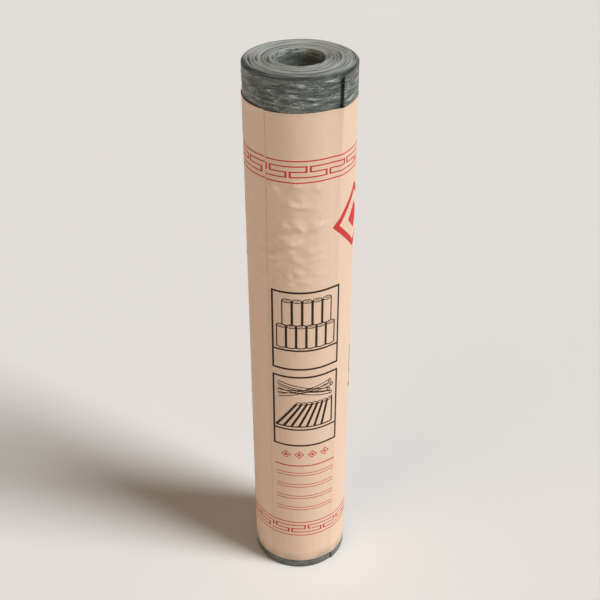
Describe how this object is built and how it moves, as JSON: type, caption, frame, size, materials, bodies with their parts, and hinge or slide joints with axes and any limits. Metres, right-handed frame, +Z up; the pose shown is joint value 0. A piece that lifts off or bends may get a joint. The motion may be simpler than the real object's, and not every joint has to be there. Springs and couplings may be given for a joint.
{
  "type": "roll of roofing felt",
  "caption": "Upright roll of bitumen roofing felt, wound open round a hollow bore, in a glued kraft paper wrapper with bare felt at both ends.",
  "frame": {"origin": "middle of the foot, on the floor that the roll stands on", "axes": "+Z up along the bore; the wrapper's printed panel looks towards -Y, turned 18 degrees towards +X"},
  "size_m": [0.1733, 0.1727, 1],
  "materials": {
    "bitumen_felt": "matte",
    "kraft_paper": "matte"
  },
  "bodies": {
    "root": {"felt_roll": "bitumen_felt", "paper_wrapper": "kraft_paper"}
  },
  "joints": []
}
